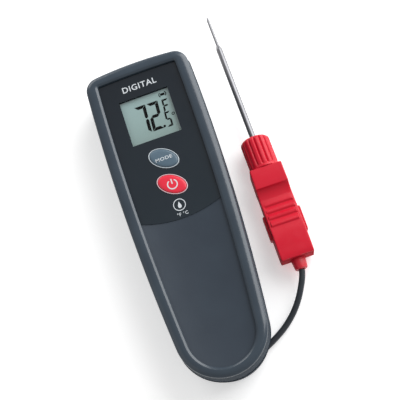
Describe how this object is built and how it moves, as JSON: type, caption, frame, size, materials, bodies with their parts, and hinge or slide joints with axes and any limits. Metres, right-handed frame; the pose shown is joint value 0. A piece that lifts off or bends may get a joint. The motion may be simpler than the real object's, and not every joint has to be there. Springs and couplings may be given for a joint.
{
  "type": "meat thermometer",
  "caption": "Hand-held digital meat thermometer: a long tapered meter with a display and two push buttons, and a steel penetration probe with a red grip on a cord.",
  "frame": {"origin": "on the meter's flat back face, on its middle line and half-way along it", "axes": "+Z out of the meter's face, +Y up the meter to its display end, +X towards the probe that lies beside it"},
  "size_m": [0.0876, 0.1946, 0.0265],
  "materials": {
    "housing_front": "satin slate blue, fine texture",
    "housing_rear": "satin slate blue",
    "gasket": "matte",
    "screw_steel": "plain",
    "label": "glossy near-black blue",
    "window": "clear",
    "lcd": "pale grey-green display",
    "display_frame": "matte",
    "reflector": "pale",
    "elastomer": "matte",
    "board": "solder mask",
    "chip": "moulded",
    "can": "plain",
    "connector": "plain",
    "lead": "insulation",
    "button_slate": "satin slate blue",
    "button_red": "satin red",
    "ring": "silver grey",
    "switch": "moulded",
    "battery_cap": "satin",
    "seal": "matte",
    "holder": "plain",
    "contact": "plated",
    "cell": "bright",
    "cord": "dark grey-green, satin",
    "strap": "woven hook and loop",
    "handle": "satin red",
    "boot": "satin red",
    "stem": "polished",
    "resin": "cast",
    "bead": "coated"
  },
  "bodies": {
    "meter": {"front_housing": "housing_front", "rear_housing": "housing_rear", "housing_gasket": "gasket", "housing_screws": "screw_steel", "face_label": "label", "lcd_window": "window", "lcd_glass": "lcd", "lcd_frame": "display_frame", "lcd_backing": "reflector", "zebra_strips": "elastomer", "circuit_board": "board", "board_screws": "screw_steel", "processor_chip": "chip", "timing_crystal": "can", "lead_connector": "connector", "sensor_leads": "lead", "function_switch": "switch", "function_ring": "ring", "power_switch": "switch", "power_ring": "ring", "battery_holder": "holder", "battery_contacts": "contact", "coin_cell": "cell", "cord_gland": "cord", "cord_tail": "cord", "cord_hank": "cord", "cord_ties": "strap", "probe_cord": "cord"},
    "function_key": {"function_button": "button_slate", "function_plunger": "switch"},
    "power_key": {"power_button": "button_red", "power_plunger": "switch"},
    "cap": {"battery_cap": "battery_cap", "battery_seal": "seal"},
    "probe": {"handle_top": "handle", "handle_bottom": "handle", "probe_collar": "handle", "probe_boot": "boot", "probe_stem": "stem", "stem_ferrule": "contact", "probe_potting": "resin", "inner_lead": "cord", "thermistor_bead": "bead", "bead_wires": "lead"}
  },
  "joints": [
    {"name": "function_button_press", "type": "slide", "parent": "meter", "child": "function_key", "axis": [0, 0, -1], "range_m": [0, 0.0005], "stiffness_N_per_m": 1500, "springref_m": -0.0005},
    {"name": "power_button_press", "type": "slide", "parent": "meter", "child": "power_key", "axis": [0, 0, -1], "range_m": [0, 0.0005], "stiffness_N_per_m": 1500, "springref_m": -0.0005},
    {"name": "battery_cap_turn", "type": "hinge", "parent": "meter", "child": "cap", "pos_m": [0, 0.044, 0], "axis": [0, 0, -1], "range_deg": [0, 60]},
    {"name": "probe_swing", "type": "hinge", "parent": "meter", "child": "probe", "pos_m": [0.04845, -0.04469, 0.008], "axis": [0, 0, 1], "range_deg": [-30, 4]}
  ]
}
